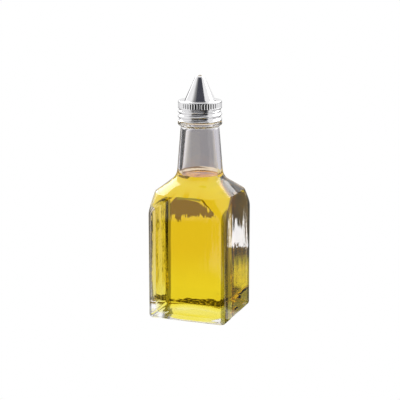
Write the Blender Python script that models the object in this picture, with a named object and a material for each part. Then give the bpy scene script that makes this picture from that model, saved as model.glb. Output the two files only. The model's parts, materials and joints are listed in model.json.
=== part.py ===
"""Square glass table cruet for oil, with a screw-on stainless pouring top.

Run it with: blender --background --python part.py
All sizes are metres. +Z is up, the origin is the middle of the base on the table, and each
flat side of the bottle faces along +X, -X, +Y or -Y.
"""

from math import atan2, ceil, cos, dist, pi, radians, sin, sqrt, tan

import bmesh
import bpy

MM = 0.001
GAP = 0.3 * MM                  # air left between pieces that touch

# ---- bottle, outside
BODY_WIDTH = 56 * MM            # across two opposite flat sides
CORNER_RADIUS = 3.5 * MM        # of the four upright edges
HEEL_RADIUS = 2.5 * MM          # where the sides turn under to the base
PUSH_UP = 1.0 * MM              # hollow under the base
PUSH_UP_FLOOR = 12 * MM         # radius of the hollow's flat middle
BEARING_INNER = 19 * MM         # radius where the hollow meets the table
CORNER_SLOPE = (39.2 * MM, 73.5 * MM)   # radius and height where the upright edges end
CREASE = (31.4 * MM, 86.9 * MM)         # the shoulder's outer rim
CREASE_RADIUS = 2.5 * MM
NECK_FOOT = (16.0 * MM, 96.3 * MM)      # where the shoulder's line meets the neck's
NECK_FOOT_RADIUS = 10 * MM
NECK_TOP = (13.2 * MM, 130.6 * MM)
BEAD = (15.1 * MM, 135.1 * MM)          # radius and top of the ring under the cap
BEAD_UNDERSIDE = 132.6 * MM
BEAD_ROUND = 1.0 * MM

# ---- bottle, inside
WALL = 3.6 * MM
INNER_CORNER_RADIUS = 6 * MM
FLOOR_HEIGHT = 5.2 * MM
FLOOR_RADIUS = 14 * MM          # flat middle of the inner floor
INNER_HEEL = 4 * MM
NECK_WALL = 2.7 * MM
MOUTH_RADIUS = 10 * MM

# ---- threaded finish
FINISH_TOP = 146.6 * MM
ROOT_RADIUS = 12.75 * MM
THREAD_CREST = 14.1 * MM
THREAD_PITCH = 3.5 * MM
THREAD_START = 136.25 * MM      # height of the thread's middle where it begins, on the +X side
THREAD_TURNS = 1.2
THREAD_RUN_OUT = 0.1            # turns over which an end of the thread fades
CREST_HALF = 0.35 * MM          # half the flat on the thread's crest
FLANK_END = 1.1 * MM            # from the thread's middle to the foot of its flank

# ---- oil
OIL_LEVEL = 97.5 * MM

# ---- pouring top
SHEET = 0.45 * MM               # thickness of the pressed steel
WASHER_THICKNESS = 0.8 * MM
WASHER_INNER = 10.4 * MM
WASHER_OUTER = 12.9 * MM
COLLAR_BOTTOM = 135.5 * MM
COLLAR_RIM = 15.05 * MM
WAVE_MIDDLE = 14.5 * MM         # outer radius halfway between the rolled thread's hill and valley
WAVE_HEIGHT = 0.6 * MM
WAVE_LOW = 136.2 * MM           # heights between which the rolled thread is fully formed
WAVE_HIGH = 142.2 * MM
GROOVE_RADIUS = 14.0 * MM
GROOVE = (143.0 * MM, 143.5 * MM)
BAND = (144.0 * MM, 148.6 * MM)  # the grip band's lower and upper edges
BAND_RADIUS = 14.9 * MM
FLUTE_COUNT = 48
FLUTE_DEPTH = 0.3 * MM
COLLAR_EDGE_RADIUS = 0.6 * MM
CONE_BASE = (10.3 * MM, 149.5 * MM)
CONE_TIP = (3.2 * MM, 165.0 * MM)
SPOUT_HOLE = 1.9 * MM
CONE_TOP = 166.0 * MM
FLANGE_RADIUS = 13.2 * MM
LIP_ROUND = 0.7 * MM            # rounding of the bottle's lip
TIP_ROUND = 0.8 * MM            # rounding of the cone's tip
CONE_INSET = 1.15 * SHEET       # the sheet's thickness measured straight in from the cone's side
OIL_CAP = 7 * MM                # radius of the flat middle of the oil's surface

# ---- fineness of the mesh
FLAT_STEPS = 5                  # segments across half a flat side
CORNER_STEPS = 4                # segments round one upright edge
TURNED_STEPS = 48
ARC_STEP = radians(25)
SHOULDER_STEP = 2.3 * MM
THREAD_STEPS = 6                # rings for each turn of a thread
HEEL_STEPS = 3                  # rings round the lower edge of a square body
LEAST_CORNER = 1.5 * MM         # upright edge's radius where a square body turns under

HALF = BODY_WIDTH / 2
INNER_HALF = HALF - WALL
SHOULDER_DROP = 0.8 * WALL      # how far the inner shoulder lies under the outer one
WASHER_BOTTOM = FINISH_TOP + GAP
FLANGE_BOTTOM = WASHER_BOTTOM + WASHER_THICKNESS + GAP
COLLAR_TOP = FLANGE_BOTTOM + SHEET + GAP + SHEET


# ---------------------------------------------------------------- outlines

def rounded(corners):
    """Turns (radius, height, fillet) corners into points, with an arc at each fillet."""
    points = []
    last = len(corners) - 1
    for i, (r, z, fillet) in enumerate(corners):
        if fillet == 0 or i in (0, last):
            points.append((r, z))
            continue
        before = corners[i - 1][:2]
        after = corners[i + 1][:2]
        points.extend(arc_points(before, (r, z), after, fillet))
    return points


def arc_points(before, corner, after, fillet):
    """Points on the arc that rounds one corner of an outline."""
    to_before = unit(corner, before)
    to_after = unit(corner, after)
    across = to_before[0] * to_after[0] + to_before[1] * to_after[1]
    turn = pi - atan2(sqrt(max(0.0, 1 - across * across)), across)
    reach = fillet * tan(turn / 2)
    start = step_from(corner, to_before, reach)
    middle = unit((0, 0), (to_before[0] + to_after[0], to_before[1] + to_after[1]))
    centre = step_from(corner, middle, fillet / cos(turn / 2))
    first = atan2(start[1] - centre[1], start[0] - centre[0])
    side = to_before[0] * to_after[1] - to_before[1] * to_after[0]
    sweep = -turn if side > 0 else turn
    steps = max(1, ceil(turn / ARC_STEP))
    angles = [first + sweep * k / steps for k in range(steps + 1)]
    return [(centre[0] + fillet * cos(a), centre[1] + fillet * sin(a)) for a in angles]


def unit(start, end):
    length = dist(start, end)
    return ((end[0] - start[0]) / length, (end[1] - start[1]) / length)


def step_from(point, direction, length):
    return (point[0] + direction[0] * length, point[1] + direction[1] * length)


def refined(points, longest):
    """Splits each stretch of an outline so that none is longer than longest."""
    fine = [points[0]]
    for start, end in zip(points, points[1:]):
        pieces = max(1, ceil(dist(start, end) / longest))
        for k in range(1, pieces + 1):
            fine.append(tuple(a + (b - a) * k / pieces for a, b in zip(start, end)))
    return fine


# ---------------------------------------------------------------- cross-sections

def turned(radius):
    """A round cross-section."""
    return lambda angle: radius


def squared(half, corner, limit=1.0):
    """A rounded square cross-section, cut off by a circle of radius limit."""
    middle = (half - corner) * sqrt(2)

    def radius(angle):
        off_flat = angle % (pi / 2)
        off_flat = min(off_flat, pi / 2 - off_flat)
        if half * tan(off_flat) <= half - corner:
            reach = half / cos(off_flat)
        else:
            off_corner = pi / 4 - off_flat
            side = middle * sin(off_corner)
            reach = middle * cos(off_corner) + sqrt(corner * corner - side * side)
        return min(reach, limit)

    return radius


def smooth_step(value):
    value = min(1.0, max(0.0, value))
    return value * value * (3 - 2 * value)


def glass_thread(height):
    """The threaded finish's cross-section at one height."""

    def radius(angle):
        part_turn = (angle % (2 * pi)) / (2 * pi)
        turns_up = (height - THREAD_START) / THREAD_PITCH
        turn = round(turns_up - part_turn) + part_turn
        off_crest = abs(turns_up - turn) * THREAD_PITCH
        flank = (FLANK_END - off_crest) / (FLANK_END - CREST_HALF)
        ends = min(turn, THREAD_TURNS - turn) / THREAD_RUN_OUT
        rise = min(1.0, max(0.0, flank)) * smooth_step(ends)
        return ROOT_RADIUS + (THREAD_CREST - ROOT_RADIUS) * rise

    return radius


def rolled_thread(height, inset):
    """The collar's wavy wall at one height. It is inset from the outer face by inset."""

    def radius(angle):
        phase = 2 * pi * (height - THREAD_START) / THREAD_PITCH - angle
        wave = WAVE_MIDDLE + WAVE_HEIGHT * cos(phase)
        to_groove = smooth_step((height - WAVE_HIGH) / (GROOVE[0] - WAVE_HIGH))
        to_rim = smooth_step((WAVE_LOW - height) / (WAVE_LOW - COLLAR_BOTTOM))
        wall = wave + (GROOVE_RADIUS - wave) * to_groove
        return wall + (COLLAR_RIM - wall) * to_rim - inset

    return radius


def fluted(outer, depth):
    """The grip band's cross-section, with a shallow flute between each pair of ribs."""

    def radius(angle):
        return outer - depth * (0.5 - 0.5 * cos(FLUTE_COUNT * angle))

    return radius


# ---------------------------------------------------------------- making meshes

def square_angles():
    """Directions of a ring's points, gathered at the four rounded corners."""
    edge = atan2(HALF - CORNER_RADIUS, HALF)
    eighth = [edge * k / FLAT_STEPS for k in range(FLAT_STEPS)]
    corner = [edge + (pi / 2 - 2 * edge) * k / CORNER_STEPS for k in range(CORNER_STEPS + 1)]
    quarter = eighth + corner + [pi / 2 - a for a in reversed(eighth[1:])]
    return [quadrant * pi / 2 + a for quadrant in range(4) for a in quarter]


def even_angles(count):
    return [2 * pi * k / count for k in range(count)]


def place(verts, height, radius):
    """Moves a ring's points to one height and cross-section, each along its own direction."""
    for vert in verts:
        angle = atan2(vert.co.y, vert.co.x)
        reach = radius(angle)
        vert.co = (reach * cos(angle), reach * sin(angle), height)


def grow(stations, angles, capped):
    """Extrudes a ring of edges through (height, cross-section) stations.

    The two ends are capped with a flat face each, or joined to each other.
    """
    body = bmesh.new()
    circle = bmesh.ops.create_circle(body, segments=len(angles), radius=1.0)
    for vert, angle in zip(circle["verts"], angles):
        vert.co = (cos(angle), sin(angle), 0)
    place(circle["verts"], *stations[0])
    first_edges = list(body.edges)
    edges = first_edges
    for height, radius in stations[1:]:
        made = bmesh.ops.extrude_edge_only(body, edges=edges)["geom"]
        verts = [item for item in made if isinstance(item, bmesh.types.BMVert)]
        new = set(verts)
        edges = [e for e in body.edges if e.verts[0] in new and e.verts[1] in new]
        place(verts, height, radius)
    if capped:
        bmesh.ops.contextual_create(body, geom=first_edges)
        bmesh.ops.contextual_create(body, geom=edges)
    else:
        bmesh.ops.bridge_loops(body, edges=first_edges + edges)
    bmesh.ops.recalc_face_normals(body, faces=body.faces)
    return body


def add_piece(name, body, material, origin_height=0.0, parent=None):
    """Makes an object of a bmesh, with its origin on the bottle's axis."""
    bmesh.ops.translate(body, vec=(0, 0, -origin_height), verts=body.verts)
    bmesh.ops.triangulate(body, faces=body.faces)
    mesh = bpy.data.meshes.new(name)
    body.to_mesh(mesh)
    body.free()
    mesh.shade_smooth()
    mesh.set_sharp_from_angle(angle=radians(35))
    mesh.materials.append(material)
    piece = bpy.data.objects.new(name, mesh)
    bpy.context.collection.objects.link(piece)
    if parent is not None:
        piece.parent = parent
        origin_height -= parent.location.z
    piece.location = (0, 0, origin_height)
    return piece


def new_material(name, colour, roughness, metallic=0.0, transmission=0.0):
    material = bpy.data.materials.new(name)
    material.use_nodes = True
    shader = material.node_tree.nodes["Principled BSDF"]
    shader.inputs["Base Color"].default_value = (*colour, 1)
    shader.inputs["Roughness"].default_value = roughness
    shader.inputs["Metallic"].default_value = metallic
    shader.inputs["Transmission Weight"].default_value = transmission
    return material


# ---------------------------------------------------------------- the pieces

def body_stations(outline, half, corner):
    """Stations of a square body, cut off by the turned outline."""
    return [(z, squared(half, corner, limit=r)) for r, z in outline]


def heel_stations(half, corner, low, fillet, upward):
    """Stations round the lower edge of a square body whose flat bottom is at low."""
    stations = []
    for k in range(HEEL_STEPS + 1):
        angle = (pi / 2) * k / HEEL_STEPS
        width = half - fillet + fillet * sin(angle)
        edge = max(corner - fillet + fillet * sin(angle), LEAST_CORNER)
        stations.append((low + fillet - fillet * cos(angle), squared(width, edge)))
    return stations if upward else stations[::-1]


def make_bottle(material):
    """One piece of moulded glass: base, square body, shoulder, neck and threaded finish."""
    stations = [(PUSH_UP, turned(PUSH_UP_FLOOR)), (0, turned(BEARING_INNER))]
    stations += heel_stations(HALF, CORNER_RADIUS, 0, HEEL_RADIUS, upward=True)
    shoulder = rounded([
        (*CORNER_SLOPE, 0),
        (*CREASE, CREASE_RADIUS),
        (*NECK_FOOT, NECK_FOOT_RADIUS),
        (*NECK_TOP, 0),
    ])
    shoulder = refined(shoulder[:-1], SHOULDER_STEP) + shoulder[-1:]
    stations += body_stations(shoulder, HALF, CORNER_RADIUS)
    bead = rounded([
        (*NECK_TOP, 0),
        (BEAD[0], BEAD_UNDERSIDE, BEAD_ROUND),
        (*BEAD, BEAD_ROUND),
        (ROOT_RADIUS, BEAD[1], 0),
    ])
    stations += [(z, turned(r)) for r, z in bead[1:]]
    low = THREAD_START - FLANK_END
    high = THREAD_START + THREAD_TURNS * THREAD_PITCH + FLANK_END
    rings = ceil((high - low) / THREAD_PITCH * THREAD_STEPS)
    heights = [low + (high - low) * k / rings for k in range(rings + 1)]
    stations += [(z, glass_thread(z)) for z in heights]
    lip = rounded([
        (ROOT_RADIUS, high, 0),
        (ROOT_RADIUS, FINISH_TOP, LIP_ROUND),
        (MOUTH_RADIUS, FINISH_TOP, LIP_ROUND),
        (MOUTH_RADIUS, BEAD_UNDERSIDE, 0),
    ])
    stations += [(z, turned(r)) for r, z in lip[1:]]
    stations += inner_stations(0)
    body = grow(stations, square_angles(), capped=True)
    return add_piece("glass_bottle", body, material)


def inner_outline(clear):
    """The bottle's inner shoulder and neck, from the top down, moved in by clear."""
    return rounded([
        (NECK_TOP[0] - NECK_WALL - clear, NECK_TOP[1], 0),
        (NECK_FOOT[0] - NECK_WALL - clear, NECK_FOOT[1] - SHOULDER_DROP - clear, NECK_FOOT_RADIUS),
        (CREASE[0] - WALL - clear, CREASE[1] - SHOULDER_DROP - clear, CREASE_RADIUS),
        (CORNER_SLOPE[0] - WALL - clear, CORNER_SLOPE[1] - SHOULDER_DROP - clear, 0),
    ])


def inner_stations(clear):
    """Stations down the bottle's inside, or down the oil's outside where clear isn't 0."""
    outline = inner_outline(clear)
    outline = outline[:1] + refined(outline[1:], SHOULDER_STEP)
    if clear:
        outline = below_level(outline)
    half = INNER_HALF - clear
    corner = INNER_CORNER_RADIUS - clear
    stations = body_stations(outline, half, corner)
    stations += heel_stations(half, corner, FLOOR_HEIGHT + clear, INNER_HEEL, upward=False)
    stations.append((FLOOR_HEIGHT + clear, turned(FLOOR_RADIUS)))
    return stations


def below_level(outline):
    """The part of an outline, drawn from the top down, that lies under the oil's surface."""
    for k, (above, below) in enumerate(zip(outline, outline[1:])):
        if below[1] < OIL_LEVEL:
            share = (above[1] - OIL_LEVEL) / (above[1] - below[1])
            radius = above[0] + (below[0] - above[0]) * share
            return [(radius, OIL_LEVEL)] + outline[k + 1:]
    return outline


def make_oil(material):
    """The oil, filling the body and the foot of the neck."""
    stations = [(OIL_LEVEL, turned(OIL_CAP))] + inner_stations(GAP)
    return add_piece("oil_fill", grow(stations, square_angles(), capped=True), material)


def make_washer(material, parent):
    """A flat ring that seals the cone's flange to the bottle's lip."""
    low = WASHER_BOTTOM
    high = low + WASHER_THICKNESS
    corners = [(WASHER_OUTER, low), (WASHER_OUTER, high), (WASHER_INNER, high), (WASHER_INNER, low)]
    stations = [(z, turned(r)) for r, z in corners]
    body = grow(stations, even_angles(TURNED_STEPS), capped=False)
    return add_piece("sealing_washer", body, material, COLLAR_BOTTOM, parent)


def make_collar(material, parent):
    """The pressed screw ring: grip band above, rolled thread below, open top and bottom."""
    rings = ceil((GROOVE[0] - COLLAR_BOTTOM) / THREAD_PITCH * THREAD_STEPS)
    heights = [COLLAR_BOTTOM + (GROOVE[0] - COLLAR_BOTTOM) * k / rings for k in range(rings + 1)]
    flute_low = BAND[0] + SHEET
    flute_high = BAND[1] - SHEET
    hole = CONE_BASE[0] + GAP
    stations = [(z, rolled_thread(z, 0)) for z in heights]
    stations.append((GROOVE[1], turned(GROOVE_RADIUS)))
    stations.append((BAND[0], turned(BAND_RADIUS)))
    stations += [(z, fluted(BAND_RADIUS, FLUTE_DEPTH)) for z in (flute_low, flute_high)]
    stations.append((BAND[1], turned(BAND_RADIUS)))
    stations.append((COLLAR_TOP, turned(BAND_RADIUS - COLLAR_EDGE_RADIUS)))
    stations.append((COLLAR_TOP, turned(hole)))
    stations.append((COLLAR_TOP - SHEET, turned(hole)))
    band_inside = BAND_RADIUS - FLUTE_DEPTH - SHEET
    stations.append((COLLAR_TOP - SHEET, turned(band_inside)))
    stations.append((BAND[0] + SHEET, turned(band_inside)))
    stations.append((GROOVE[1], turned(GROOVE_RADIUS - SHEET)))
    stations += [(z, rolled_thread(z, SHEET)) for z in reversed(heights)]
    body = grow(stations, even_angles(2 * FLUTE_COUNT), capped=False)
    return add_piece("screw_collar", body, material, COLLAR_BOTTOM, parent)


def make_cone(material, parent):
    """The spun pouring cone, with the flange that the collar clamps and a hole at the tip."""
    flange_top = FLANGE_BOTTOM + SHEET
    outside = rounded([
        (FLANGE_RADIUS, FLANGE_BOTTOM, 0),
        (FLANGE_RADIUS, flange_top, 0),
        (CONE_BASE[0], flange_top, 0),
        (*CONE_BASE, 0),
        (*CONE_TIP, TIP_ROUND),
        (SPOUT_HOLE + SHEET, CONE_TOP, 0),
        (SPOUT_HOLE, CONE_TOP, 0),
    ])
    inside = [
        (SPOUT_HOLE, CONE_TOP - SHEET),
        (CONE_TIP[0] - CONE_INSET, CONE_TIP[1] - SHEET / 2),
        (CONE_BASE[0] - CONE_INSET, CONE_BASE[1] - SHEET / 2),
        (CONE_BASE[0] - CONE_INSET, FLANGE_BOTTOM),
    ]
    stations = [(z, turned(r)) for r, z in outside + inside]
    body = grow(stations, even_angles(TURNED_STEPS), capped=False)
    return add_piece("pouring_cone", body, material, COLLAR_BOTTOM, parent)


def clear_scene():
    for item in list(bpy.data.objects):
        bpy.data.objects.remove(item)


def main():
    clear_scene()
    glass = new_material("clear_glass", (0.92, 0.94, 0.93), 0.05, transmission=1.0)
    oil = new_material("golden_oil", (0.86, 0.68, 0.05), 0.1, transmission=0.6)
    steel = new_material("polished_steel", (0.78, 0.78, 0.8), 0.18, metallic=1.0)
    seal = new_material("white_seal", (0.85, 0.85, 0.82), 0.6)
    make_bottle(glass)
    make_oil(oil)
    top = bpy.data.objects.new("pouring_top", None)
    bpy.context.collection.objects.link(top)
    top.location = (0, 0, COLLAR_BOTTOM)
    make_washer(seal, top)
    make_collar(steel, top)
    make_cone(steel, top)


main()
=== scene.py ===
"""Glass table cruet for oil, with a screw-on steel pouring top.

The bottle, the oil, the seal, the screw collar and the pouring cone are modelled in detail round
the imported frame, each by its own operator, and set on a plain pale stage. Everything is in metres.
"""

import json
from math import atan2, ceil, cos, dist, exp, pi, radians, sin, sqrt, tan

import bmesh
import bpy
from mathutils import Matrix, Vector, noise


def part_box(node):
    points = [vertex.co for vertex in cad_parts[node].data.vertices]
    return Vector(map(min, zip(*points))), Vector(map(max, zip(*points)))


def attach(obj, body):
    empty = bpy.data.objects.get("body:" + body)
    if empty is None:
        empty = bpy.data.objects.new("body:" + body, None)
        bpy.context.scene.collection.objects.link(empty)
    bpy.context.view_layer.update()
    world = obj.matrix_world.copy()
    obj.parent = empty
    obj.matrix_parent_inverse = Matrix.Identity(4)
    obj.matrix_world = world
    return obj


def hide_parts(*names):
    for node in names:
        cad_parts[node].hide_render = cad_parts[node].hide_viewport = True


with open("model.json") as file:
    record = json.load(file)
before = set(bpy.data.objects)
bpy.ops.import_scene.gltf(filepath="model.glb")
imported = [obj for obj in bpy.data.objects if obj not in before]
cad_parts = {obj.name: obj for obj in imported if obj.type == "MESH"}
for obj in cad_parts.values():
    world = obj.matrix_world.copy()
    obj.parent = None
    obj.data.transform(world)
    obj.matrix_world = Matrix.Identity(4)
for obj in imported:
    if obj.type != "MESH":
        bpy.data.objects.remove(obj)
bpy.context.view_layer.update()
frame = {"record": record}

bl_info = {
    "name": "Glass oil cruet",
    "version": (1, 0, 0),
    "blender": (4, 5, 0),
    "location": "3D View > Sidebar > Cruet",
    "description": "Builds a square glass table cruet with a steel pouring top",
    "category": "Add Mesh",
}

MM = 0.001
GAP = 0.3 * MM                  # air that the frame leaves between pieces that touch

# Sizes that the frame gives.
BOTTLE_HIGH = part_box("glass_bottle")[1]
OIL_LOW, OIL_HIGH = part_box("oil_fill")
WASHER_LOW, WASHER_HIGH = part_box("sealing_washer")
COLLAR_LOW, COLLAR_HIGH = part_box("screw_collar")
CONE_LOW, CONE_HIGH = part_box("pouring_cone")
HALF = BOTTLE_HIGH.x
FINISH_TOP = BOTTLE_HIGH.z
OIL_LEVEL = OIL_HIGH.z
FLOOR_HEIGHT = OIL_LOW.z - GAP
PITCH = frame["record"]["behaviour"]["couplings"][0]["ratio"] * 2 * pi


# ---------------------------------------------------------------- settings

def length(name, text, default):
    return bpy.props.FloatProperty(
        name=name, description=text, default=default, min=0, precision=5, unit="LENGTH"
    )


def colour(name, text, default):
    return bpy.props.FloatVectorProperty(
        name=name, description=text, default=default, size=3, min=0, max=1, subtype="COLOR"
    )


def count(name, text, default):
    return bpy.props.IntProperty(name=name, description=text, default=default, min=3)


class CruetBottleSettings(bpy.types.PropertyGroup):
    """Sizes and finish of the moulded glass bottle."""

    wall: length("Wall", "Thickness of the flat sides", 3.6 * MM)
    corner: length("Corner", "Radius of the upright outer edges", 3.5 * MM)
    inner_corner: length("Inner corner", "Radius of the upright inner edges", 6 * MM)
    heel: length("Heel", "Radius where the sides turn under", 2.5 * MM)
    crease_radius: length("Crease radius", "Radius of the shoulder's outer rim", 31.4 * MM)
    crease_height: length("Crease height", "Height of the shoulder's outer rim", 86.9 * MM)
    neck_radius: length("Neck radius", "Radius at the top of the neck", 13.2 * MM)
    bead_radius: length("Bead", "Radius of the ring under the collar", 15.1 * MM)
    mouth: length("Mouth", "Radius of the bore", 10 * MM)
    ripple: length("Ripple", "Depth of the waves on the inner wall", 0.3 * MM)
    tint: colour("Tint", "Colour of the glass", (0.993, 0.988, 0.992))


class CruetOilSettings(bpy.types.PropertyGroup):
    """Finish of the oil."""

    meniscus: length("Meniscus", "How far the oil climbs the wall", 0.7 * MM)
    passed: colour("Colour passed", "What a unit of oil lets through", (0.994, 0.935, 0.0))
    strength: bpy.props.FloatProperty(
        name="Strength", description="Absorption for each metre of oil", default=72.0, min=0
    )


class CruetTopSettings(bpy.types.PropertyGroup):
    """Sizes and finish of the pressed steel top."""

    sheet: length("Sheet", "Thickness of the pressed steel", 0.45 * MM)
    flutes: count("Flutes", "Number of ribs round the grip band", 48)
    flute_depth: length("Flute depth", "How deep the flutes are pressed", 0.32 * MM)
    cone_base: length("Cone base", "Radius at the foot of the pouring cone", 10.3 * MM)
    cone_tip: length("Cone tip", "Radius at the tip of the pouring cone", 3.2 * MM)
    spout: length("Spout", "Radius of the hole at the tip", 1.9 * MM)
    steel: colour("Steel", "Colour of the polished steel", (0.84, 0.835, 0.845))
    seal: colour("Seal", "Colour of the sealing washer", (0.86, 0.86, 0.83))


class CruetStageSettings(bpy.types.PropertyGroup):
    """Camera and studio."""

    azimuth: bpy.props.FloatProperty(
        name="Azimuth", description="Camera's turn round the bottle",
        default=radians(20.4), subtype="ANGLE",
    )
    pitch: bpy.props.FloatProperty(
        name="Pitch", description="How far the camera looks down",
        default=radians(12.76), subtype="ANGLE",
    )
    distance: length("Distance", "Camera's distance from the bottle's axis", 0.845)
    height: length("Height", "Camera's height over the table", 0.271)
    lens: bpy.props.FloatProperty(
        name="Lens", description="Focal length in millimetres", default=113.0, min=1
    )


# ---------------------------------------------------------------- outlines

def rounded(corners, arc_step=radians(8)):
    """Turns (radius, height, fillet) corners into points, with an arc at each fillet."""
    points = []
    last = len(corners) - 1
    for i, (r, z, fillet) in enumerate(corners):
        if fillet == 0 or i in (0, last):
            points.append((r, z))
        else:
            points.extend(arc_points(corners[i - 1][:2], (r, z), corners[i + 1][:2], fillet, arc_step))
    return points


def arc_points(before, corner, after, fillet, arc_step):
    """Points on the arc that rounds one corner of an outline."""
    to_before = unit(corner, before)
    to_after = unit(corner, after)
    across = to_before[0] * to_after[0] + to_before[1] * to_after[1]
    turn = pi - atan2(sqrt(max(0.0, 1 - across * across)), across)
    start = step_from(corner, to_before, fillet * tan(turn / 2))
    middle = unit((0, 0), (to_before[0] + to_after[0], to_before[1] + to_after[1]))
    centre = step_from(corner, middle, fillet / cos(turn / 2))
    first = atan2(start[1] - centre[1], start[0] - centre[0])
    side = to_before[0] * to_after[1] - to_before[1] * to_after[0]
    sweep = -turn if side > 0 else turn
    steps = max(2, ceil(turn / arc_step))
    angles = [first + sweep * k / steps for k in range(steps + 1)]
    return [(centre[0] + fillet * cos(a), centre[1] + fillet * sin(a)) for a in angles]


def unit(start, end):
    span = dist(start, end)
    return ((end[0] - start[0]) / span, (end[1] - start[1]) / span)


def step_from(point, direction, span):
    return (point[0] + direction[0] * span, point[1] + direction[1] * span)


def refined(points, longest):
    """Splits each stretch of an outline so that none is longer than longest."""
    fine = [points[0]]
    for start, end in zip(points, points[1:]):
        pieces = max(1, ceil(dist(start, end) / longest))
        for k in range(1, pieces + 1):
            fine.append(tuple(a + (b - a) * k / pieces for a, b in zip(start, end)))
    return fine


def spread(low, high, longest):
    """Even values from low to high, no further apart than longest."""
    pieces = max(1, ceil(abs(high - low) / longest))
    return [low + (high - low) * k / pieces for k in range(pieces + 1)]


def smooth_step(value):
    value = min(1.0, max(0.0, value))
    return value * value * (3 - 2 * value)


def soft_least(a, b, blend):
    """The smaller of a and b, with a rounded change from one to the other."""
    mix = min(1.0, max(0.0, 0.5 + 0.5 * (b - a) / blend))
    return b + (a - b) * mix - blend * mix * (1 - mix)


# ---------------------------------------------------------------- cross-sections

def turned(radius):
    """A round cross-section."""
    return lambda angle: radius


def squared(half, corner, limit=1.0, blend=2.0 * MM):
    """A rounded square cross-section that softly gives way to a circle of radius limit."""
    middle = (half - corner) * sqrt(2)

    def radius(angle):
        off_flat = angle % (pi / 2)
        off_flat = min(off_flat, pi / 2 - off_flat)
        if half * tan(off_flat) <= half - corner:
            reach = half / cos(off_flat)
        else:
            off_corner = pi / 4 - off_flat
            side = middle * sin(off_corner)
            reach = middle * cos(off_corner) + sqrt(corner * corner - side * side)
        return soft_least(reach, limit, blend)

    return radius


def rippled(section, height, depth):
    """A cross-section with the slow waves that cooling leaves on the inside of moulded glass."""

    def radius(angle):
        reach = section(angle)
        x = reach * cos(angle)
        y = reach * sin(angle)
        aside = min(abs(x), abs(y)) / HALF
        edge = smooth_step((aside - 0.38) / 0.35)
        slow = noise.noise(Vector((x * 70, y * 70, height * 20)))
        quick = noise.noise(Vector((x * 210, y * 210, height * 55 + 9)))
        return reach - depth * (0.12 + edge) * (0.5 + 0.9 * slow + 0.45 * quick)

    return radius


# ---------------------------------------------------------------- making meshes

def square_angles(flat_steps=22, corner_steps=12):
    """Directions of a ring's points, gathered at the four rounded corners."""
    edge = atan2(HALF - 6 * MM, HALF)
    eighth = [edge * k / flat_steps for k in range(flat_steps)]
    corner = [edge + (pi / 2 - 2 * edge) * k / corner_steps for k in range(corner_steps + 1)]
    quarter = eighth + corner + [pi / 2 - a for a in reversed(eighth[1:])]
    return [quadrant * pi / 2 + a for quadrant in range(4) for a in quarter]


def even_angles(number):
    return [2 * pi * k / number for k in range(number)]


def grow(stations, angles, capped, second_from=None, second_to=None):
    """Wraps a grid round (height, cross-section) stations, one row of points to each.

    The ends are capped, or joined to each other. Rows second_from to second_to of the faces take
    the piece's second material.
    """
    rows = stations if capped else stations + stations[:1]
    columns = len(angles)
    last = len(rows) - 1
    body = bmesh.new()
    bmesh.ops.create_grid(body, x_segments=columns, y_segments=last, size=1.0)
    row_of = {}
    seam = []
    for vert in body.verts:
        column = round((vert.co.x + 1) / 2 * columns)
        row_of[vert] = round((vert.co.y + 1) / 2 * last)
        height, radius = rows[row_of[vert]]
        angle = angles[column % columns]
        reach = radius(angle)
        level = height(angle) if callable(height) else height
        vert.co = (reach * cos(angle), reach * sin(angle), level)
        if column in (0, columns) or (not capped and row_of[vert] in (0, last)):
            seam.append(vert)
    if second_from is not None:
        for face in body.faces:
            row = min(row_of[vert] for vert in face.verts)
            face.material_index = int(second_from <= row < second_to)
    bmesh.ops.remove_doubles(body, verts=seam, dist=0.0001 * MM)
    if capped:
        for cap in bmesh.ops.holes_fill(body, edges=body.edges, sides=0)["faces"]:
            beside = [face for face in cap.edges[0].link_faces if face is not cap]
            cap.material_index = beside[0].material_index
    bmesh.ops.recalc_face_normals(body, faces=body.faces)
    return body


def add_piece(name, body, materials, body_name, node, sharp=50):
    """Makes an object of a bmesh and ties it to the frame."""
    mesh = bpy.data.meshes.new(name)
    body.to_mesh(mesh)
    body.free()
    mesh.shade_smooth()
    mesh.set_sharp_from_angle(angle=radians(sharp))
    for material in materials:
        mesh.materials.append(material)
    piece = bpy.data.objects.new(name, mesh)
    bpy.context.scene.collection.objects.link(piece)
    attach(piece, body_name)
    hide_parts(node)
    return piece


# ---------------------------------------------------------------- node wiring

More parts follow.
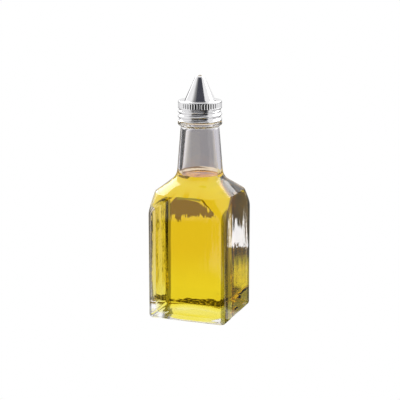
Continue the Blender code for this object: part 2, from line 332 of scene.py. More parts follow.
class Wiring:
    """Short ways to wire value nodes in one node tree."""

    def __init__(self, tree):
        self.tree = tree

    def join(self, socket, value):
        """Links a node's output to a socket, or writes a plain value on it."""
        if isinstance(value, bpy.types.NodeSocket):
            self.tree.links.new(value, socket)
        else:
            socket.default_value = value

    def math(self, operation, *values):
        """One step of arithmetic."""
        node = self.tree.nodes.new("ShaderNodeMath")
        node.operation = operation
        for socket, value in zip(node.inputs, values):
            self.join(socket, value)
        return node.outputs["Value"]

    def both(self, first, second):
        """1 only where two masks are both 1."""
        return self.math("MULTIPLY", first, second)

    def add_part(self, value, part, base):
        """base with a part of value added."""
        return self.math("MULTIPLY_ADD", value, part, base)

    def along(self, vector, direction):
        """How far a vector goes in a direction."""
        node = self.tree.nodes.new("ShaderNodeVectorMath")
        node.operation = "DOT_PRODUCT"
        self.join(node.inputs[0], vector)
        node.inputs[1].default_value = direction
        return node.outputs["Value"]

    def rise(self, value, start, end):
        """0 before start and 1 past end, softly between. Swapped ends make a fall."""
        node = self.tree.nodes.new("ShaderNodeMapRange")
        node.interpolation_type = "SMOOTHSTEP"
        low, high = min(start, end), max(start, end)
        self.join(node.inputs["Value"], value)
        node.inputs["From Min"].default_value = low
        node.inputs["From Max"].default_value = high
        node.inputs["To Min"].default_value = float(start > end)
        node.inputs["To Max"].default_value = float(start < end)
        return node.outputs["Result"]

    def span(self, value, low, high, soft):
        """1 between low and high, falling to 0 over soft on each side."""
        up = self.rise(value, low - soft, low + soft)
        return self.both(up, self.rise(value, high + soft, high - soft))

    def lay(self, under, over, mask):
        """The colour over laid on the colour under where mask is 1."""
        node = self.tree.nodes.new("ShaderNodeMix")
        node.data_type = "RGBA"
        self.join(node.inputs["Factor"], mask)
        self.join(node.inputs["A"], under)
        self.join(node.inputs["B"], over)
        return node.outputs["Result"]

    def pair(self, across, fine, along, coarse):
        """Two values, each with its own scale, as one vector."""
        node = self.tree.nodes.new("ShaderNodeCombineXYZ")
        self.join(node.inputs["X"], self.math("MULTIPLY", across, fine))
        self.join(node.inputs["Y"], self.math("MULTIPLY", along, coarse))
        return node.outputs["Vector"]

    def jag(self, vector, scale, detail):
        """A noise of -1 to 1."""
        node = self.tree.nodes.new("ShaderNodeTexNoise")
        node.inputs["Scale"].default_value = scale
        node.inputs["Detail"].default_value = detail
        self.join(node.inputs["Vector"], vector)
        return self.add_part(node.outputs["Fac"], 2.0, -1.0)


# ---------------------------------------------------------------- materials

GLASS_INDEX = 1.5
OIL_INDEX = 1.47
EDGE_SHADE_DARKEST = (0.015, 0.015, 0.01)   # painted shade: tint of the glass in the darkest streaks along the upright edges
EDGE_SHADE_PALEST = (0.28, 0.28, 0.27)     # and in their palest
STREAKS_END = (0.092, 0.080)       # heights over which the edges' streaks fade out under the shoulder


def fresh_material(name):
    """A new material, its node tree, its shader and its output."""
    material = bpy.data.materials.new(name)
    material.use_nodes = True
    tree = material.node_tree
    return material, tree, tree.nodes["Principled BSDF"], tree.nodes["Material Output"]


def object_noise(tree, scale, detail, rough=0.5):
    """A noise texture on object coordinates, stretched by scale along each axis."""
    place_node = tree.nodes.new("ShaderNodeTexCoord")
    mapping = tree.nodes.new("ShaderNodeMapping")
    texture = tree.nodes.new("ShaderNodeTexNoise")
    mapping.inputs["Scale"].default_value = scale
    texture.inputs["Scale"].default_value = 1.0
    texture.inputs["Detail"].default_value = detail
    texture.inputs["Roughness"].default_value = rough
    tree.links.new(place_node.outputs["Object"], mapping.inputs["Vector"])
    tree.links.new(mapping.outputs["Vector"], texture.inputs["Vector"])
    return texture.outputs["Fac"]


def between(tree, source, low, high):
    """Spreads a 0 to 1 value over low to high."""
    node = tree.nodes.new("ShaderNodeMapRange")
    node.inputs["From Min"].default_value = 0.3
    node.inputs["From Max"].default_value = 0.7
    node.inputs["To Min"].default_value = low
    node.inputs["To Max"].default_value = high
    tree.links.new(source, node.inputs["Value"])
    return node.outputs["Result"]


def ramp_between(tree, source, low, high):
    """A colour between low and high, chosen by source."""
    node = tree.nodes.new("ShaderNodeValToRGB")
    node.color_ramp.elements[0].position = 0.3
    node.color_ramp.elements[1].position = 0.7
    node.color_ramp.elements[0].color = (*low, 1)
    node.color_ramp.elements[1].color = (*high, 1)
    tree.links.new(source, node.inputs["Fac"])
    return node.outputs["Color"]


def bumped(tree, height, distance, strength=1.0, under=None):
    """A bump of the given depth in metres, laid over the bump under."""
    node = tree.nodes.new("ShaderNodeBump")
    node.inputs["Strength"].default_value = strength
    node.inputs["Distance"].default_value = distance
    tree.links.new(height, node.inputs["Height"])
    if under is not None:
        tree.links.new(under, node.inputs["Normal"])
    return node.outputs["Normal"]


def near_edges(wiring, low, high, power=1.0):
    """1 near the bottle's upright edges, falling to 0 in the middle of each side and the neck.

    low and high bound the product of x and y, as shares of the half width. A higher power keeps
    the mask narrow on the y sides and leaves it wide on the x sides.
    """
    where = wiring.tree.nodes.new("ShaderNodeTexCoord").outputs["Object"]
    across = wiring.math("ABSOLUTE", wiring.along(where, (1 / HALF, 0, 0)))
    along = wiring.math("ABSOLUTE", wiring.along(where, (0, 1 / HALF, 0)))
    product = wiring.math("MULTIPLY", wiring.math("POWER", across, power), along)
    return wiring.rise(product, low, high)


def glass_material(name, tint, index):
    """Moulded glass: clear, with slow waves, upright edges streaked with bumps and painted dark shade,
    and a faint orange peel.
    """
    material, tree, shader, _ = fresh_material(name)
    clear = tuple(c * 0.995 for c in tint)
    shader.inputs["Transmission Weight"].default_value = 1.0
    shader.inputs["IOR"].default_value = index
    haze = object_noise(tree, (60, 60, 40), 2.0)
    wiring = Wiring(tree)
    # painted shade: a dark, streaky tint near the upright edges, for the dark lines that the corners
    # refract
    edge_shade = ramp_between(tree, object_noise(tree, (330, 330, 14), 2.0), EDGE_SHADE_DARKEST, EDGE_SHADE_PALEST)
    tint_and_edge_shade = wiring.lay(ramp_between(tree, haze, clear, tint), edge_shade, near_edges(wiring, 0.70, 0.77, 3.0))
    tree.links.new(tint_and_edge_shade, shader.inputs["Base Color"])
    tree.links.new(between(tree, haze, 0.0, 0.012), shader.inputs["Roughness"])
    waves = bumped(tree, object_noise(tree, (55, 55, 22), 1.0), 0.5 * MM, 0.35)
    streaks = object_noise(tree, (210, 210, 30), 2.5)
    where = tree.nodes.new("ShaderNodeTexCoord").outputs["Object"]
    upright = wiring.rise(wiring.along(where, (0, 0, 1)), *STREAKS_END)
    sides = wiring.both(near_edges(wiring, 0.25, 0.64), upright)
    waves = bumped(tree, wiring.math("MULTIPLY", streaks, sides), 0.35 * MM, 0.5, waves)
    peel = bumped(tree, object_noise(tree, (420, 420, 420), 1.0), 0.02 * MM, 0.4, waves)
    tree.links.new(peel, shader.inputs["Normal"])
    return material


def oil_material(name, settings, index):
    """Golden cooking oil: clear, and yellow by its depth."""
    material, tree, shader, output = fresh_material(name)
    shader.inputs["Transmission Weight"].default_value = 1.0
    shader.inputs["Roughness"].default_value = 0.0
    shader.inputs["IOR"].default_value = index
    cloud = object_noise(tree, (35, 35, 18), 3.0)
    tone = ramp_between(tree, cloud, (0.985, 0.98, 0.96), (1.0, 1.0, 1.0))
    tree.links.new(tone, shader.inputs["Base Color"])
    depth = tree.nodes.new("ShaderNodeVolumeAbsorption")
    depth.inputs["Color"].default_value = (*settings.passed, 1)
    depth.inputs["Density"].default_value = settings.strength
    tree.links.new(depth.outputs["Volume"], output.inputs["Volume"])
    return material


def steel_material(name, tone, lathe_scale):
    """Polished steel with fine marks that run round it and a few soft smears."""
    material, tree, shader, _ = fresh_material(name)
    shader.inputs["Metallic"].default_value = 1.0
    smear = object_noise(tree, (160, 160, 120), 4.0, 0.6)
    dull = tuple(c * 0.9 for c in tone)
    tree.links.new(ramp_between(tree, smear, dull, tone), shader.inputs["Base Color"])
    tree.links.new(between(tree, smear, 0.07, 0.16), shader.inputs["Roughness"])
    lines = object_noise(tree, (25, 25, lathe_scale), 2.0)
    dents = bumped(tree, object_noise(tree, (130, 130, 90), 1.0), 0.05 * MM, 0.35)
    tree.links.new(bumped(tree, lines, 0.012 * MM, 0.35, dents), shader.inputs["Normal"])
    return material


def seal_material(name, tone):
    """Soft white plastic, a little yellowed and speckled."""
    material, tree, shader, _ = fresh_material(name)
    speckle = object_noise(tree, (700, 700, 700), 4.0, 0.7)
    aged = (tone[0] * 0.93, tone[1] * 0.9, tone[2] * 0.78)
    tree.links.new(ramp_between(tree, speckle, aged, tone), shader.inputs["Base Color"])
    tree.links.new(between(tree, speckle, 0.5, 0.7), shader.inputs["Roughness"])
    tree.links.new(bumped(tree, speckle, 0.03 * MM, 0.5), shader.inputs["Normal"])
    return material


# ---------------------------------------------------------------- bottle and oil shapes

FLOOR_DOME = 2.2 * MM           # how far the middle of the inner floor stands over its edge
INNER_HEEL = 4 * MM             # radius where the inner walls meet the floor
SHOULDER_FINE = 0.6 * MM        # longest step down the shoulder
WALL_STEP = 2.5 * MM            # longest step up the flat sides
NECK_WALL = 2.7 * MM
NECK_TOP = COLLAR_LOW.z - 4.9 * MM
NECK_FOOT = (16.0 * MM, 96.3 * MM, 10 * MM)   # radius, height and fillet
SLOPE_FOOT = (41.3 * MM, 69.9 * MM)           # radius and height, past the body's corners
ROOT_RADIUS = 12.75 * MM
THREAD_CREST = 14.1 * MM
THREAD_START = COLLAR_LOW.z + 0.75 * MM
THREAD_TURNS = 1.2
FLANK_END = 1.1 * MM
CREST_HALF = 0.35 * MM
THREAD_FADE = 0.1               # turns over which an end of the thread fades
INNER_DROP = 0.8                # the inner shoulder's drop under the outer one, in wall thicknesses
PUSH_UP = 1.0 * MM              # hollow under the base
PUSH_UP_FLOOR = 6 * MM          # radius of the hollow's flat middle
PUSH_UP_EDGE = 21.5 * MM        # radius where the hollow meets the table
RING_INSET = 4.6 * MM           # from the flat sides in to the knurled ring
KNURL_COUNT = 104
KNURL_DEPTH = 0.16 * MM
FLOOR_RINGS = 12                # rings of points across the inner floor
DOME_RINGS = 9                  # and those that rise to the floor's flat middle
OIL_FILM = 0.03 * MM            # gap between the oil and the glass, too thin to see


def heel_stations(half, corner, low, fillet, steps, section=lambda s, z: s):
    """Stations round the lower edge of a square body whose flat bottom is at low."""
    stations = []
    for k in range(steps + 1):
        angle = (pi / 2) * k / steps
        width = half - fillet + fillet * sin(angle)
        edge = max(corner - fillet + fillet * sin(angle), corner / 3)
        height = low + fillet - fillet * cos(angle)
        stations.append((height, section(squared(width, edge), height)))
    return stations


def outer_outline(settings):
    """The shoulder and neck as a turned outline, from the corner slopes up."""
    return rounded([
        (*SLOPE_FOOT, 0),
        (settings.crease_radius, settings.crease_height, 2.0 * MM),
        NECK_FOOT,
        (settings.neck_radius, NECK_TOP, 0),
    ])


def inner_outline(settings):
    """The inside of the neck and shoulder, from the top down."""
    slope = settings.wall * INNER_DROP
    return rounded([
        (settings.neck_radius - NECK_WALL, NECK_TOP, 0),
        (NECK_FOOT[0] - NECK_WALL, NECK_FOOT[1] - slope - 1 * MM, 7 * MM),
        (settings.crease_radius - settings.wall, settings.crease_height - slope, 4 * MM),
        (SLOPE_FOOT[0] - settings.wall, SLOPE_FOOT[1] - slope, 0),
    ])


def glass_thread(height):
    """The threaded finish's cross-section at one height."""

    def radius(angle):
        part_turn = (angle % (2 * pi)) / (2 * pi)
        turns_up = (height - THREAD_START) / PITCH
        turn = round(turns_up - part_turn) + part_turn
        off_crest = abs(turns_up - turn) * PITCH
        flank = smooth_step((FLANK_END - off_crest) / (FLANK_END - CREST_HALF))
        ends = smooth_step(min(turn, THREAD_TURNS - turn) / THREAD_FADE)
        return ROOT_RADIUS + (THREAD_CREST - ROOT_RADIUS) * flank * ends

    return radius


def base_stations():
    """The hollow under the base and the knurled ring that the bottle stands on."""
    stations = [(PUSH_UP, turned(2 * MM)), (PUSH_UP, turned(PUSH_UP_FLOOR))]
    for k in range(1, 13):
        across = PUSH_UP_FLOOR + (PUSH_UP_EDGE - PUSH_UP_FLOOR) * k / 12
        stations.append((PUSH_UP * (1 - smooth_step(k / 12)), turned(across)))
    ring_half = HALF - RING_INSET
    stations.append((0.0, squared(ring_half - 0.8 * MM, 2 * MM)))

    def knurl(angle):
        return KNURL_DEPTH * (0.5 - 0.5 * cos(KNURL_COUNT * angle))

    for inset in (0.0, 0.7, 1.4):
        stations.append((knurl, squared(ring_half + inset * MM, 2 * MM)))
    return stations


def inner_body_stations(settings, clear):
    """Stations down the inner shoulder, walls and floor, moved in by clear."""
    outline = inner_outline(settings)
    upper = [(r - clear, z) for r, z in refined(outline[1:], SHOULDER_FINE)]
    half = HALF - settings.wall - clear
    corner = settings.inner_corner - clear
    low = FLOOR_HEIGHT - FLOOR_DOME + clear
    stations = [
        (z, rippled(squared(half, corner, limit=r), z, settings.ripple * below_neck(z)))
        for r, z in upper
    ]
    for z in spread(upper[-1][1], low + INNER_HEEL, WALL_STEP)[1:-1]:
        stations.append((z, rippled(squared(half, corner), z, settings.ripple)))
    heel = heel_stations(
        half, corner, low, INNER_HEEL, 10,
        section=lambda s, z: rippled(s, z, settings.ripple),
    )
    stations += heel[::-1]
    for k in range(1, FLOOR_RINGS + 1):
        inward = k / FLOOR_RINGS
        across = (half - INNER_HEEL) * (1 - inward) + 2 * MM * inward
        rise = FLOOR_DOME * smooth_step(k / DOME_RINGS)
        section = squared(across, min(corner, across * 0.6), limit=across * (1.45 - 0.4 * inward))
        stations.append((low + rise, section))
    return stations


def below_neck(height):
    """1 in the square body, falling to 0 at the foot of the neck."""
    return smooth_step((NECK_FOOT[1] - height) / (20 * MM))


# ---------------------------------------------------------------- operators: bottle and oil

class CRUET_OT_bottle(bpy.types.Operator):
    """Mould the glass bottle: base, square body, shoulder, neck, ring and threaded finish"""

    bl_idname = "cruet.bottle"
    bl_label = "Glass bottle"

    def execute(self, context):
        settings = context.scene.cruet_bottle
        stations = base_stations()
        stations += heel_stations(HALF, settings.corner, 0, settings.heel, 8)
        outline = outer_outline(settings)
        for z in spread(settings.heel, outline[0][1], WALL_STEP)[1:-1]:
            stations.append((z, squared(HALF, settings.corner)))
        split = next(i for i, (r, z) in enumerate(outline) if z > NECK_FOOT[1] - 4 * MM)
        shoulder = refined(outline[:split], SHOULDER_FINE) + refined(outline[split:], 1.5 * MM)
        stations += [(z, squared(HALF, settings.corner, limit=r)) for r, z in shoulder]
        bead_low = NECK_TOP + 2.0 * MM
        bead_high = COLLAR_LOW.z - 0.4 * MM
        bead = rounded([
            (settings.neck_radius, NECK_TOP, 0),
            (settings.neck_radius - 0.05 * MM, bead_low - 0.9 * MM, 0.8 * MM),
            (settings.bead_radius, bead_low + 0.2 * MM, 1.0 * MM),
            (settings.bead_radius, bead_high, 1.0 * MM),
            (ROOT_RADIUS, bead_high, 0.3 * MM),
            (ROOT_RADIUS, bead_high + 0.6 * MM, 0),
        ])
        stations += [(z, turned(r)) for r, z in bead[1:]]
        low = bead[-1][1]
        high = THREAD_START + THREAD_TURNS * PITCH + FLANK_END
        stations += [(z, glass_thread(z)) for z in spread(low, high, 0.22 * MM)[1:]]
        lip = rounded([
            (ROOT_RADIUS, high, 0),
            (ROOT_RADIUS, FINISH_TOP, 0.8 * MM),
            (settings.mouth, FINISH_TOP, 0.8 * MM),
            (settings.mouth, bead_low, 2.0 * MM),
            (settings.neck_radius - NECK_WALL, NECK_TOP, 0),
        ])
        stations += [(z, turned(r)) for r, z in refined(lip, 1.5 * MM)[1:-1]]
        inner = inner_outline(settings)
        neck = refined(inner[:2], 1.5 * MM)
        stations += [(z, turned(r)) for r, z in neck[:-1]]
        wet_line = OIL_LEVEL + context.scene.cruet_oil.meniscus
        inner_body = inner_body_stations(settings, 0)
        wet_from = len(stations) + sum(1 for z, _ in inner_body if z > wet_line)
        stations += inner_body
        body = grow(stations, square_angles(), True, wet_from, len(stations))
        dry_glass = glass_material("moulded_glass", settings.tint, GLASS_INDEX)
        wet_glass = glass_material("oil_wetted_glass", settings.tint, GLASS_INDEX / OIL_INDEX)
        add_piece("bottle_glass", body, [dry_glass, wet_glass], "bottle", "glass_bottle")
        return {"FINISHED"}


class CRUET_OT_oil(bpy.types.Operator):
    """Fill the bottle with oil, with a meniscus that climbs the wall"""

    bl_idname = "cruet.oil"
    bl_label = "Oil"

    def execute(self, context):
        settings = context.scene.cruet_oil
        bottle = context.scene.cruet_bottle
        outline = refined(inner_outline(bottle), SHOULDER_FINE)
        wall = next(r for r, z in outline if z < OIL_LEVEL + settings.meniscus) - OIL_FILM
        stations = []
        for r in spread(1 * MM, wall, 0.5 * MM):
            climb = settings.meniscus * exp((r - wall) / (1.0 * MM))
            stations.append((OIL_LEVEL + climb, turned(r)))
        surface = len(stations) - 1
        stations += [s for s in inner_body_stations(bottle, OIL_FILM) if s[0] < OIL_LEVEL]
        body = grow(stations, square_angles(), True, 0, surface)
        side = oil_material("golden_oil", settings, 1.0)
        skin = oil_material("golden_oil_surface", settings, OIL_INDEX)
        add_piece("oil", body, [side, skin], "bottle", "oil_fill")
        return {"FINISHED"}


# ---------------------------------------------------------------- operators: the top

WAVE_MIDDLE = 14.5 * MM         # outer radius halfway between the rolled thread's hill and valley
WAVE_HEIGHT = 0.6 * MM
GROOVE_RADIUS = 14.0 * MM
GROOVE_LOW = COLLAR_LOW.z + 7.5 * MM
GROOVE_HIGH = COLLAR_LOW.z + 8.0 * MM
BAND_RADIUS = 14.9 * MM
BAND_LOW = COLLAR_LOW.z + 8.5 * MM
FLUTE_LOW = BAND_LOW + 0.5 * MM
FLUTE_HIGH = COLLAR_HIGH.z - 0.9 * MM
FLUTE_FADE = 0.35 * MM          # height over which an end of a flute fades
WASHER_INNER = 10.4 * MM


def rolled_thread(height, inset):
    """The collar's wavy wall at one height, moved in from its outer face by inset."""
    rim = COLLAR_HIGH.x - 0.05 * MM
    wave_low = COLLAR_LOW.z + 0.7 * MM
    wave_high = GROOVE_LOW - 0.8 * MM

    def radius(angle):
        phase = 2 * pi * (height - THREAD_START) / PITCH - angle
        wave = WAVE_MIDDLE + WAVE_HEIGHT * cos(phase)
        to_groove = smooth_step((height - wave_high) / (GROOVE_LOW - wave_high))
        to_rim = smooth_step((wave_low - height) / (wave_low - COLLAR_LOW.z))
        wall = wave + (GROOVE_RADIUS - wave) * to_groove
        return wall + (rim - wall) * to_rim - inset

    return radius


def fluted(outer, depth, flutes):
    """The grip band's cross-section: rounded ribs with a narrower flute between them."""

    def radius(angle):
        wave = 0.5 + 0.5 * cos(flutes * angle)
        return outer - depth * (1 - smooth_step(wave * 1.5))

    return radius


class CRUET_OT_collar(bpy.types.Operator):
    """Press the screw collar: curled rim, rolled thread, groove, fluted grip band and top lip"""

    bl_idname = "cruet.collar"
    bl_label = "Screw collar"

    def execute(self, context):
        settings = context.scene.cruet_top
        sheet = settings.sheet
        hole = settings.cone_base + GAP
        top = COLLAR_HIGH.z
        heights = spread(COLLAR_LOW.z, GROOVE_LOW, 0.16 * MM)
        stations = [(z, rolled_thread(z, 0)) for z in heights]
        lower = rounded([
            (GROOVE_RADIUS, GROOVE_LOW, 0),
            (GROOVE_RADIUS, GROOVE_HIGH, 0.3 * MM),
            (BAND_RADIUS, BAND_LOW, 0.25 * MM),
            (BAND_RADIUS, FLUTE_LOW, 0),
        ], radians(15))
        stations += [(z, turned(r)) for r, z in lower[1:]]
        for z in spread(FLUTE_LOW, FLUTE_HIGH, 0.2 * MM)[1:-1]:
            fade_in = smooth_step((z - FLUTE_LOW) / FLUTE_FADE)
            fade_out = smooth_step((FLUTE_HIGH - z) / FLUTE_FADE)
            depth = settings.flute_depth * min(fade_in, fade_out)
            stations.append((z, fluted(BAND_RADIUS, depth, settings.flutes)))
        inside = BAND_RADIUS - settings.flute_depth - sheet
        upper = rounded([
            (BAND_RADIUS, FLUTE_HIGH, 0),
            (BAND_RADIUS, top, 0.85 * MM),
            (hole + 0.2 * MM, top, 0.15 * MM),
            (hole, top - 0.2 * MM, 0.1 * MM),
            (hole, top - sheet, 0),
            (inside, top - sheet, 0.3 * MM),
            (inside, FLUTE_LOW, 0.3 * MM),
            (GROOVE_RADIUS - sheet, GROOVE_HIGH, 0),
            (GROOVE_RADIUS - sheet, GROOVE_LOW, 0),
        ], radians(15))
        stations += [(z, turned(r)) for r, z in upper[1:-1]]
        stations += [(z, rolled_thread(z, sheet)) for z in reversed(heights)]
        body = grow(stations, even_angles(8 * settings.flutes), capped=False)
        steel = steel_material("polished_collar_steel", settings.steel, 2600)
        add_piece("collar_steel_shell", body, [steel], "cap", "screw_collar")
        return {"FINISHED"}


class CRUET_OT_cone(bpy.types.Operator):
    """Spin the pouring cone: clamped flange, straight sides, rolled tip and open spout"""

    bl_idname = "cruet.cone"
    bl_label = "Pouring cone"

    def execute(self, context):
        settings = context.scene.cruet_top
        sheet = settings.sheet
        flange = CONE_HIGH.x
        low = CONE_LOW.z
        foot = COLLAR_HIGH.z + GAP
        shoulder = CONE_HIGH.z - 1.0 * MM
        outline = rounded([
            (flange, low, 0),
            (flange, low + sheet, 0),
            (settings.cone_base, low + sheet, 0.2 * MM),
            (settings.cone_base, foot, 0.5 * MM),
            (settings.cone_tip, shoulder, 0.9 * MM),
            (settings.spout + 0.8 * sheet, CONE_HIGH.z, 0.25 * MM),
            (settings.spout, CONE_HIGH.z - 0.15 * MM, 0.1 * MM),
            (settings.spout, CONE_HIGH.z - sheet, 0),
            (settings.cone_tip - 1.2 * sheet, shoulder - 0.5 * sheet, 0.5 * MM),
            (settings.cone_base - 1.1 * sheet, foot - 0.5 * sheet, 0.5 * MM),
            (settings.cone_base - 1.1 * sheet, low, 0),
        ], radians(12))
        stations = [(z, turned(r)) for r, z in refined(outline, 1.2 * MM)]
        body = grow(stations, even_angles(160), capped=False)
        steel = steel_material("polished_cone_steel", settings.steel, 1900)
        add_piece("cone_steel_shell", body, [steel], "cap", "pouring_cone")
        return {"FINISHED"}


class CRUET_OT_seal(bpy.types.Operator):
    """Cut the sealing washer that sits on the bottle's lip"""

    bl_idname = "cruet.seal"
    bl_label = "Sealing washer"

    def execute(self, context):
        settings = context.scene.cruet_top
        outer = WASHER_HIGH.x
        soft = 0.2 * MM
        middle = (WASHER_LOW.z + WASHER_HIGH.z) / 2
        outline = rounded([
            (WASHER_INNER, middle, 0),
            (WASHER_INNER, WASHER_LOW.z, soft),
            (outer, WASHER_LOW.z, soft),
            (outer, WASHER_HIGH.z, soft),
            (WASHER_INNER, WASHER_HIGH.z, soft),
            (WASHER_INNER, middle + 0.05 * MM, 0),
        ], radians(20))
        stations = [(z, turned(r)) for r, z in refined(outline, 0.8 * MM)]
        body = grow(stations, even_angles(128), capped=False)
        plastic = seal_material("seal_plastic", settings.seal)
        add_piece("seal_ring", body, [plastic], "seal", "sealing_washer")
        return {"FINISHED"}


# ---------------------------------------------------------------- operators: the stage

TABLE_RADIUS = 4.0
DIM = 0.03                      # the grey of the studio's dark parts


def grey(value):
    return (value, value, value, 1)


def glow_material(name):
    """A material that only glows, its wiring and its colour socket."""
    material = bpy.data.materials.new(name)
    material.use_nodes = True
    tree = material.node_tree
    tree.nodes.remove(tree.nodes["Principled BSDF"])
    glow = tree.nodes.new("ShaderNodeEmission")
    tree.links.new(glow.outputs["Emission"], tree.nodes["Material Output"].inputs["Surface"])
    return material, Wiring(tree), glow.inputs["Color"]


def stage_disc(name, height, material, seen_by):
    """A flat disc of the stage that only the named kinds of ray see."""
    body = bmesh.new()
    bmesh.ops.create_circle(body, cap_ends=True, segments=64, radius=TABLE_RADIUS)
    bmesh.ops.translate(body, vec=(0, 0, height), verts=body.verts)
    mesh = bpy.data.meshes.new(name)
    body.to_mesh(mesh)
    body.free()
    mesh.materials.append(material)
    disc = bpy.data.objects.new(name, mesh)
    bpy.context.scene.collection.objects.link(disc)
    disc.visible_camera = "camera" in seen_by
    disc.visible_diffuse = "diffuse" in seen_by
    disc.visible_glossy = "glossy" in seen_by
    disc.visible_transmission = "transmission" in seen_by
    disc.visible_shadow = False


def floor_places(wiring, turn):
    """Object coordinates, and how far a point lies behind and to the right of the bottle."""
    where = wiring.tree.nodes.new("ShaderNodeTexCoord").outputs["Object"]
    behind = wiring.along(where, (-sin(turn), cos(turn), 0))
    right = wiring.along(where, (cos(turn), sin(turn), 0))
    return where, behind, right


def mirrored_places(wiring, where, turn):
    """How far a point lies along and beside the line of sight that the right side mirrors."""
    reach = wiring.along(where, (sin(turn), cos(turn), 0))
    return reach, wiring.along(where, (cos(turn), -sin(turn), 0))


def make_table(settings):
    """The pale table: white to the eye, and with painted light and shade where the glass and the steel
    show it.
    """
    white, _, colour_in = glow_material("table_white")
    colour_in.default_value = grey(1.0)
    stage_disc("table_top", -0.2 * MM, white, {"camera"})
    shaded, wiring, colour_in = glow_material("table_seen_in_glass")
    wiring.join(colour_in, through_glass(wiring, settings.azimuth))
    stage_disc("table_in_glass", -0.3 * MM, shaded, {"transmission", "diffuse"})
    mirrored, wiring, colour_in = glow_material("table_seen_in_gloss")
    wiring.join(colour_in, mirrored_floor(wiring, settings.azimuth))
    stage_disc("table_in_gloss", -0.4 * MM, mirrored, {"glossy"})


def through_glass(wiring, turn):
    """What the bottle shows of the table, all painted light and shade: a bright patch round it, then the
    dim studio.
    """
    where, behind, right = floor_places(wiring, turn)
    shade = wiring.lay((0.89, 0.85, 0.78, 1), (0.86, 0.72, 0.55, 1), wiring.rise(behind, 0.05, 0.20))
    # painted shadow and caustic: darker golden streaks on the table behind on the right, which the left
    # wall shows
    reach, aside = mirrored_places(wiring, where, turn)
    streaks = wiring.jag(wiring.pair(aside, 300.0, reach, 9.0), 1.0, 3.0)
    side = wiring.lay((0.16, 0.12, 0.02, 1), (0.84, 0.70, 0.26, 1), wiring.rise(streaks, -0.22, 0.02))
    beside = wiring.both(wiring.rise(aside, -0.030, -0.018), wiring.rise(right, 0.015, 0.035))
    shade = wiring.lay(shade, side, beside)
    # painted shade and light: the dim front of the studio, darkest far from the bottle, then paler again
    # further out
    leftward = wiring.math("ADD", behind, right)
    rays = wiring.math("SUBTRACT", wiring.math("MULTIPLY", behind, 0.86), right)
    streaks = wiring.jag(wiring.pair(rays, 170.0, leftward, 6.0), 1.0, 2.0)
    front = wiring.lay((0.17, 0.18, 0.14, 1), (0.46, 0.49, 0.40, 1), wiring.rise(streaks, -0.25, 0.30))
    shade = wiring.lay(shade, front, wiring.rise(behind, -0.03, -0.06))
    shade = wiring.lay(shade, grey(DIM), wiring.rise(leftward, -0.135, -0.165))
    shade = wiring.lay(shade, (0.75, 0.70, 0.42, 1), wiring.rise(leftward, -0.70, -0.90))
    front_right = wiring.both(wiring.rise(behind, -0.03, -0.05), wiring.rise(right, 0.01, 0.03))
    shade = wiring.lay(shade, grey(DIM), front_right)
    # painted shadow: the ragged brown shadow at the far edge of the bright patch
    uneven = wiring.jag(wiring.pair(right, 190.0, behind, 24.0), 1.0, 4.0)
    ragged = wiring.add_part(uneven, 0.035, behind)
    ragged = wiring.add_part(wiring.span(right, -0.018, -0.012, 0.005), 0.022, ragged)
    slanted = wiring.add_part(behind, 0.37, right)
    brown_shadow = wiring.both(wiring.rise(ragged, 0.301, 0.307), wiring.rise(slanted, 0.143, 0.137))
    shade = wiring.lay(shade, (0.25, 0.165, 0.12, 1), brown_shadow)
    # far behind: grey in the middle, a bright strip to the left and a paler one to the right
    far = wiring.lay((0.34, 0.325, 0.335, 1), (0.80, 0.78, 0.83, 1), wiring.rise(right, -0.07, -0.20))
    far = wiring.lay(far, (0.58, 0.56, 0.60, 1), wiring.rise(right, 0.10, 0.30))
    far = wiring.lay(far, grey(0.012), wiring.rise(right, -0.27, -0.30))
    shade = wiring.lay(shade, far, wiring.rise(behind, 0.385, 0.40))
    # the painted shadow that the bottle stands in, with lighter flecks
    off = wiring.tree.nodes.new("ShaderNodeVectorMath")
    off.operation = "LENGTH"
    wiring.join(off.inputs[0], where)
    torn = wiring.add_part(wiring.jag(where, 240.0, 4.0), 0.008, off.outputs["Value"])
    flecks = wiring.rise(wiring.jag(where, 420.0, 3.0), 0.0, 0.25)
    contact_shadow_tone = wiring.lay((0.07, 0.055, 0.02, 1), (0.55, 0.45, 0.25, 1), flecks)
    under = wiring.both(wiring.rise(torn, 0.0485, 0.0465), wiring.rise(behind, 0.0, 0.01))
    return wiring.lay(shade, contact_shadow_tone, under)


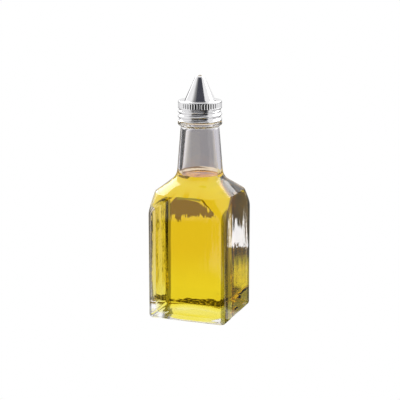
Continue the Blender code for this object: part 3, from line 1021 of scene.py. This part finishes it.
def mirrored_floor(wiring, turn):
    """What the glass and the steel mirror of the table: dim in front, a window's light behind."""
    where, behind, right = floor_places(wiring, turn)
    bearing = wiring.math("ARCTAN2", right, wiring.math("MULTIPLY", behind, -1.0))
    off_front = wiring.math("ABSOLUTE", bearing)
    shade = wiring.lay(grey(0.02), grey(1.0), wiring.rise(off_front, radians(46), radians(53)))
    near = wiring.both(wiring.rise(off_front, radians(75), radians(90)), wiring.rise(right, 0.0, 0.02))
    close_by = wiring.rise(wiring.math("ABSOLUTE", wiring.math("ADD", behind, right)), 0.60, 0.50)
    shade = wiring.lay(shade, grey(0.12), wiring.both(near, close_by))
    shade = wiring.lay(shade, grey(0.3), wiring.rise(off_front, radians(120), radians(139)))
    # window light: a ragged bright patch behind on the right, with a dark wall past it
    reach, aside = mirrored_places(wiring, where, turn)
    uneven = wiring.jag(wiring.pair(aside, 260.0, reach, 16.0), 1.0, 3.0)
    ragged = wiring.add_part(uneven, 0.035, reach)
    slanted = wiring.add_part(ragged, -0.082, aside)
    wide = wiring.span(aside, -0.06, 0.10, 0.02)
    wall = wiring.both(wiring.rise(ragged, 0.18, 0.20), wide)
    window = wiring.both(wiring.span(ragged, 0.195, 0.34, 0.003), wiring.rise(slanted, -0.006, -0.004))
    fanned = wiring.add_part(reach, 0.0254, aside)
    window = wiring.both(window, wiring.rise(fanned, 0.0319, 0.0309))
    shade = wiring.lay(shade, grey(0.24), wall)
    shade = wiring.lay(shade, (4.1, 4.15, 4.3, 1), window)
    # a lit strip of table in front on the left, which the rolled thread picks up
    leftward = wiring.add_part(behind, -0.65, right)
    strip = wiring.both(wiring.span(behind, -0.30, -0.14, 0.02), wiring.span(leftward, 0.0, 0.18, 0.01))
    shade = wiring.lay(shade, grey(1.1), strip)
    # a faint light far out in front, which hazes the top of the front face
    haze = wiring.both(wiring.span(reach, -0.52, -0.325, 0.012), wiring.span(aside, -0.09, 0.09, 0.02))
    return wiring.lay(shade, grey(0.9), haze)


def make_world(context, settings):
    """White to the eye. Round the bottle: bright sides and top, a dim front and a grey back."""
    world = bpy.data.worlds.new("studio")
    context.scene.world = world
    world.use_nodes = True
    tree = world.node_tree
    wiring = Wiring(tree)
    turn = settings.azimuth
    where = tree.nodes.new("ShaderNodeTexCoord").outputs["Generated"]
    behind = wiring.along(where, (-sin(turn), cos(turn), 0))
    right = wiring.along(where, (cos(turn), sin(turn), 0))
    up = wiring.along(where, (0, 0, 1))
    bearing = wiring.math("ARCTAN2", right, behind)
    off_back = wiring.math("ABSOLUTE", bearing)
    height = wiring.math("ARCSINE", up)

    def patch(bearings, heights):
        """1 in a part of the sky, given by two ends and a softness in degrees each way."""
        across = wiring.span(bearing, *map(radians, bearings))
        return wiring.both(across, wiring.span(height, *map(radians, heights)))

    # mirrored by glass and steel
    shade = wiring.lay(grey(0.92), grey(1.05), wiring.rise(off_back, radians(14), radians(40)))
    shade = wiring.lay(shade, grey(0.30), wiring.rise(bearing, radians(-98), radians(-132)))
    front = (0.068, 0.070, 0.088, 1)
    shade = wiring.lay(shade, front, wiring.rise(bearing, radians(-132), radians(-150)))
    shade = wiring.lay(shade, front, wiring.rise(bearing, radians(133), radians(139)))
    shade = wiring.lay(shade, grey(1.0), wiring.rise(height, radians(46), radians(60)))
    right_box = patch((14, 80, 4), (20, 50, 4))
    left_box = patch((-47, -20, 3), (12, 67, 3))
    shade = wiring.lay(shade, grey(0.05), patch((-34, -18, 2), (-9, 8, 2)))
    shade = wiring.lay(shade, grey(4.4), wiring.math("MAXIMUM", right_box, left_box))
    # seen through the glass
    clear = wiring.lay(grey(1.0), grey(0.25), wiring.rise(off_back, radians(95), radians(120)))
    clear = wiring.lay(clear, grey(2.2), patch((-105, -58, 4), (4, 30, 3)))
    path = tree.nodes.new("ShaderNodeLightPath")
    shade = wiring.lay(shade, clear, path.outputs["Is Transmission Ray"])
    shade = wiring.lay(shade, grey(1.0), path.outputs["Is Camera Ray"])
    wiring.join(tree.nodes["Background"].inputs["Color"], shade)


def make_camera(context, settings):
    """The camera, level across and looking a little down."""
    data = bpy.data.cameras.new("view")
    data.lens = settings.lens
    data.sensor_width = 36.0
    camera = bpy.data.objects.new("view", data)
    turn = settings.azimuth
    camera.location = (settings.distance * sin(turn), -settings.distance * cos(turn), settings.height)
    camera.rotation_euler = (pi / 2 - settings.pitch, 0, turn)
    context.scene.collection.objects.link(camera)
    context.scene.camera = camera


class CRUET_OT_stage(bpy.types.Operator):
    """Set up the pale table, the studio light and the camera"""

    bl_idname = "cruet.stage"
    bl_label = "Stage"

    def execute(self, context):
        settings = context.scene.cruet_stage
        make_camera(context, settings)
        make_table(settings)
        make_world(context, settings)
        context.scene.view_settings.view_transform = "Standard"
        context.scene.cycles.max_bounces = 32
        context.scene.cycles.transmission_bounces = 32
        context.scene.cycles.glossy_bounces = 12
        return {"FINISHED"}


# ---------------------------------------------------------------- panel and registration

class CRUET_PT_panel(bpy.types.Panel):
    """Lists the cruet's pieces and their settings"""

    bl_idname = "CRUET_PT_panel"
    bl_label = "Glass oil cruet"
    bl_space_type = "VIEW_3D"
    bl_region_type = "UI"
    bl_category = "Cruet"

    def draw(self, context):
        for title, group, operators in PANEL_ROWS:
            box = self.layout.box()
            box.label(text=title)
            settings = getattr(context.scene, group)
            for name in settings.bl_rna.properties.keys():
                if name not in {"rna_type", "name"}:
                    box.prop(settings, name)
            for operator in operators:
                box.operator(operator)


GROUPS = {
    "cruet_stage": CruetStageSettings,
    "cruet_bottle": CruetBottleSettings,
    "cruet_oil": CruetOilSettings,
    "cruet_top": CruetTopSettings,
}
CLASSES = (
    *GROUPS.values(),
    CRUET_OT_stage,
    CRUET_OT_bottle,
    CRUET_OT_oil,
    CRUET_OT_seal,
    CRUET_OT_collar,
    CRUET_OT_cone,
    CRUET_PT_panel,
)
PANEL_ROWS = (
    ("Stage", "cruet_stage", ("cruet.stage",)),
    ("Bottle", "cruet_bottle", ("cruet.bottle",)),
    ("Oil", "cruet_oil", ("cruet.oil",)),
    ("Pouring top", "cruet_top", ("cruet.seal", "cruet.collar", "cruet.cone")),
)


def register():
    for item in CLASSES:
        bpy.utils.register_class(item)
    for name, group in GROUPS.items():
        setattr(bpy.types.Scene, name, bpy.props.PointerProperty(type=group))


def unregister():
    for name in GROUPS:
        delattr(bpy.types.Scene, name)
    for item in reversed(CLASSES):
        bpy.utils.unregister_class(item)


def main():
    """Builds every piece and the stage."""
    register()
    bpy.ops.cruet.stage()
    bpy.ops.cruet.bottle()
    bpy.ops.cruet.oil()
    bpy.ops.cruet.seal()
    bpy.ops.cruet.collar()
    bpy.ops.cruet.cone()


if __name__ == "__main__":
    main()
